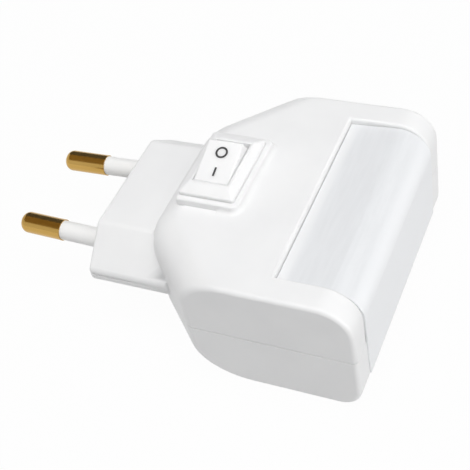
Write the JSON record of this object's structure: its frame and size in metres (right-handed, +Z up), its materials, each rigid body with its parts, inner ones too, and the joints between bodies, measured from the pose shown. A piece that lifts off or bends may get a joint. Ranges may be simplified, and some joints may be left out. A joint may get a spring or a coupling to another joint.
{
  "type": "plug-in night light",
  "caption": "Plug-in night light: two-pin mains plug, rocker switch on a plinth, and a frosted lens wrapping over the top and front of a two-shell case.",
  "frame": {"origin": "centre of the plug's engagement face, midway between the pins, on the parting plane", "axes": "+X out of the wall socket towards the lens, +Z up towards the switch, +Y towards the left pin"},
  "size_m": [0.0708, 0.0482, 0.0283],
  "materials": {
    "casing": "smooth moulded plastic with a fine satin surface",
    "lens_plastic": "frosted translucent diffuser",
    "pin_brass": "turned brass, lightly polished",
    "sleeve_plastic": "white moulded nylon",
    "switch_plastic": "smooth bright white",
    "mark_paint": "dark grey printed inlay",
    "bridge_plastic": "natural moulded plastic",
    "spring_steel": "drawn spring wire",
    "contact_copper": "stamped copper strip",
    "terminal_brass": "stamped brass",
    "board_laminate": "green solder mask",
    "led_epoxy": "diffused epoxy",
    "tinned_wire": "tinned leads",
    "film_box": "potted box",
    "can_sleeve": "shrink sleeve on an aluminium can",
    "chip_epoxy": "moulded epoxy",
    "resistor_blue": "lacquered film body",
    "resistor_tan": "lacquered film body",
    "wire_brown": "PVC insulation",
    "wire_blue": "PVC insulation",
    "screw_steel": "zinc-plated steel"
  },
  "bodies": {
    "case": {"upper_shell": "casing", "lower_shell": "casing", "lens": "lens_plastic", "pin_bridge": "bridge_plastic", "pin_left": "pin_brass", "pin_right": "pin_brass", "sleeve_left": "sleeve_plastic", "sleeve_right": "sleeve_plastic", "switch_housing": "switch_plastic", "common_terminal": "terminal_brass", "load_terminal": "terminal_brass", "circuit_board": "board_laminate", "led_left": "led_epoxy", "led_middle": "led_epoxy", "led_right": "led_epoxy", "led_leads": "tinned_wire", "film_capacitor": "film_box", "smoothing_capacitor": "can_sleeve", "bridge_rectifier": "chip_epoxy", "surge_resistor": "resistor_blue", "bleed_resistor": "resistor_tan", "wire_pin_to_switch": "wire_brown", "wire_switch_to_board": "wire_brown", "wire_pin_to_board": "wire_blue", "case_screws": "screw_steel"},
    "rocker": {"rocker": "switch_plastic", "mark_on": "mark_paint", "mark_off": "mark_paint", "switch_spring": "spring_steel", "switch_plunger": "bridge_plastic"},
    "seesaw": {"seesaw_contact": "contact_copper"}
  },
  "joints": [
    {"name": "rocker_tilt", "type": "hinge", "parent": "case", "child": "rocker", "pos_m": [0.0206, 0.0008, 0.0116], "axis": [1, 0, 0], "range_deg": [-34, 0]},
    {"name": "seesaw_tilt", "type": "hinge", "parent": "case", "child": "seesaw", "pos_m": [0.0206, 0.0008, 0.0059], "axis": [1, 0, 0], "range_deg": [0, 13]}
  ],
  "couplings": [
    {"joint": "seesaw_tilt", "follows": "rocker_tilt", "ratio": -0.3823}
  ]
}
